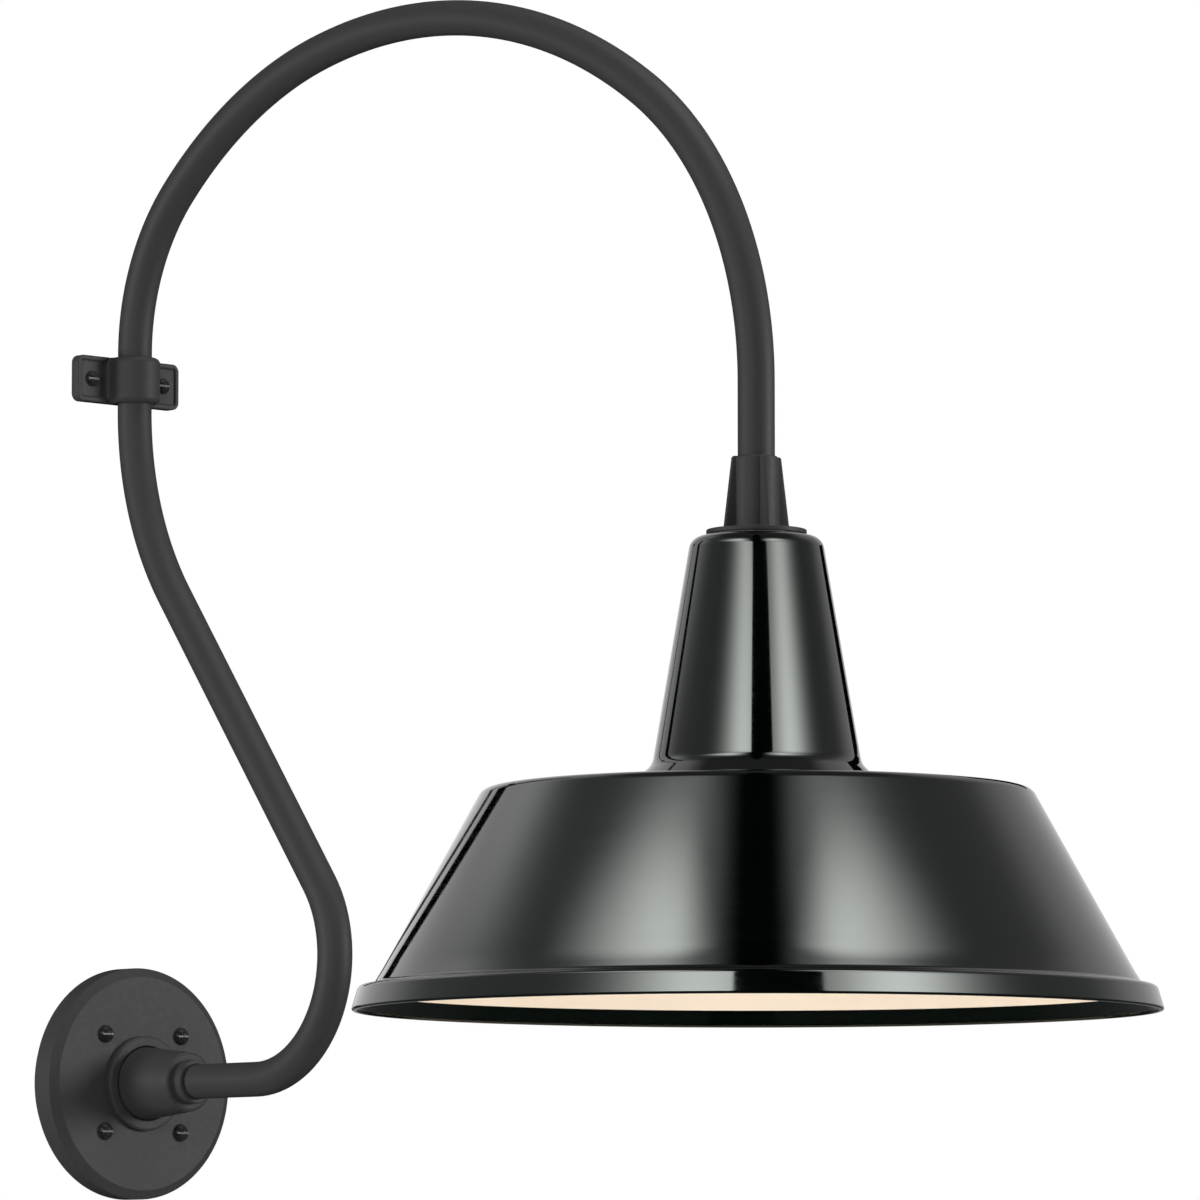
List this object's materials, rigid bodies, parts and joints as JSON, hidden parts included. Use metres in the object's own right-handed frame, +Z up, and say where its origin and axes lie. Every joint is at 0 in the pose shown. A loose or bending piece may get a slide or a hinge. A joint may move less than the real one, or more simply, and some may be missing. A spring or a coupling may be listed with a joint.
{
  "type": "barn light",
  "caption": "Wall-mounted barn light with a gooseneck tube arm, a wall clamp, a tapered spun neck and a wide stepped-rim reflector over a screw-in lamp.",
  "frame": {"origin": "middle of the wall plate on the wall surface, on the axis of the hub", "axes": "+Y into the wall, -Y out along the reach of the arm, +Z up, +X to the right as seen from in front"},
  "size_m": [0.4599, 0.8064, 0.7167],
  "materials": {
    "powder_black": "matte powder coat",
    "gloss_black": "high gloss enamel",
    "gloss_screw": "gloss black screw",
    "white_enamel": "warm white enamel",
    "zinc_steel": "zinc plated",
    "black_rubber": "moulded rubber",
    "porcelain": "glazed porcelain",
    "nylon": "moulded nylon",
    "brass": "plain brass",
    "lead_live": "insulated wire",
    "lead_earth": "insulated wire",
    "lead_neutral": "insulated wire",
    "lamp_metal": "plain metal screw base",
    "lamp_glass": "frosted glass"
  },
  "bodies": {
    "fixture": {"wall_plate": "powder_black", "wall_gasket": "black_rubber", "mounting_plate": "zinc_steel", "plate_screws": "gloss_screw", "ground_screw": "zinc_steel", "terminal_block": "nylon", "hub_bead": "powder_black", "arm_hub": "powder_black", "hub_lock_nut": "zinc_steel", "hub_set_screw": "gloss_screw", "wall_bushing": "nylon", "gooseneck_arm": "powder_black", "live_lead": "lead_live", "earth_lead": "lead_earth", "neutral_lead": "lead_neutral", "clamp_base": "powder_black", "clamp_saddle": "powder_black", "clamp_liner": "black_rubber", "clamp_screws": "gloss_screw", "fitter": "powder_black", "fitter_set_screw": "gloss_screw", "flange_disc": "powder_black", "shade_gasket": "black_rubber", "shade_neck": "gloss_black", "reflector": "gloss_black", "shade_rivets": "gloss_black", "white_lining": "white_enamel", "threaded_nipple": "zinc_steel", "lock_washer": "zinc_steel", "lock_nut": "zinc_steel", "lampholder_cap": "zinc_steel", "lampholder_body": "porcelain", "lampholder_screws": "zinc_steel", "lampholder_shell": "brass", "lampholder_contact": "brass"},
    "lamp_tip": {"lamp_contact": "lamp_metal"},
    "lamp": {"lamp_base": "lamp_metal", "lamp_globe": "lamp_glass"}
  },
  "joints": [
    {"name": "lamp_travel", "type": "slide", "parent": "fixture", "child": "lamp_tip", "axis": [0, 0, -1], "range_m": [0, 0.022]},
    {"name": "lamp_turn", "type": "hinge", "parent": "lamp_tip", "child": "lamp", "pos_m": [0, -0.5765, 0.26], "axis": [0, 0, -1], "range_deg": [0, 2182.9]}
  ],
  "couplings": [
    {"joint": "lamp_turn", "follows": "lamp_travel", "rad_per_m": 1731.4}
  ]
}
